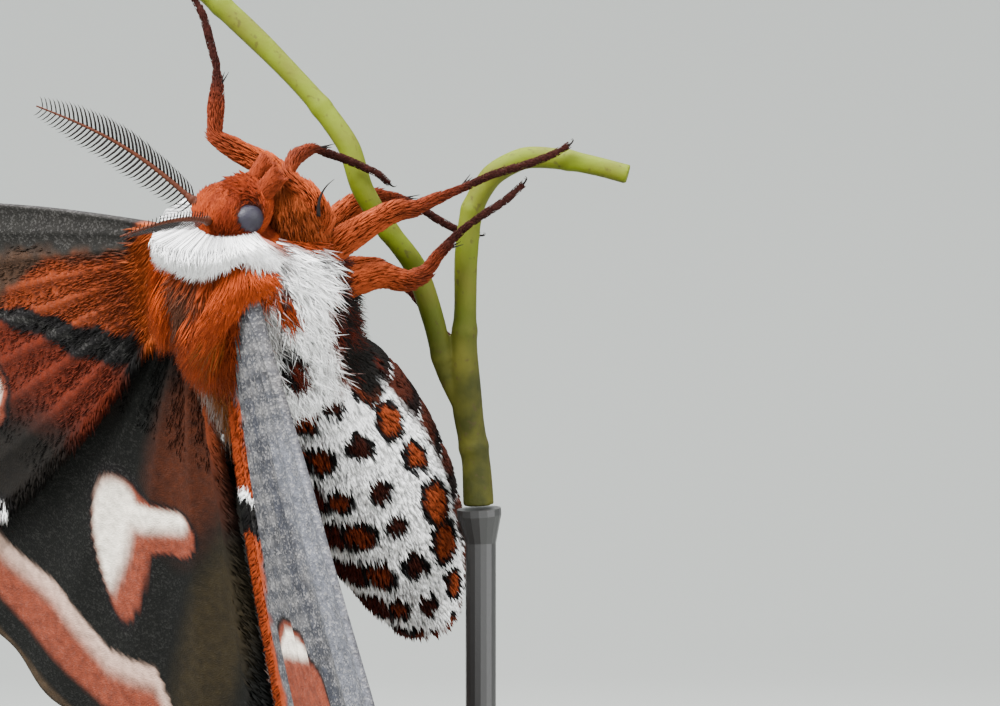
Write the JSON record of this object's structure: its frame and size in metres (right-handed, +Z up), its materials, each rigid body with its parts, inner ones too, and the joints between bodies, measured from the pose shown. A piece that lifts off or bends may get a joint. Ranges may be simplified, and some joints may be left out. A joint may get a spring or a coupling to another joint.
{
  "type": "cecropia moth display model",
  "caption": "Still life-size cecropia moth clinging head up to a forked stem, wings half spread, on a round base with one rod.",
  "frame": {"origin": "middle of the base's flat underside", "axes": "+Z up, away from the base; +Y is the way the picture's camera looks; +X is to the right in the picture"},
  "size_m": [0.1149, 0.088, 0.1109],
  "materials": {
    "coat": "long orange and white scale hair",
    "fur": "short dense scale hair, spotted",
    "wing": "dry powdery scales",
    "eye": "dark, finely faceted",
    "antenna": "dry horn",
    "leg": "short rust fur",
    "stem": "green young bark",
    "stand": "plain dark grey"
  },
  "bodies": {
    "root": {"thorax": "coat", "head": "coat", "palp_left": "coat", "palp_right": "coat", "eye_left": "eye", "eye_right": "eye", "antenna_left": "antenna", "antenna_right": "antenna", "abdomen": "fur", "forewing_left": "wing", "forewing_right": "wing", "hindwing_left": "wing", "hindwing_right": "wing", "foreleg_left": "leg", "foreleg_right": "leg", "midleg_left": "leg", "midleg_right": "leg", "hindleg_left": "leg", "hindleg_right": "leg", "perch": "stem", "stand_base": "stand", "stand_rod": "stand"}
  },
  "joints": []
}
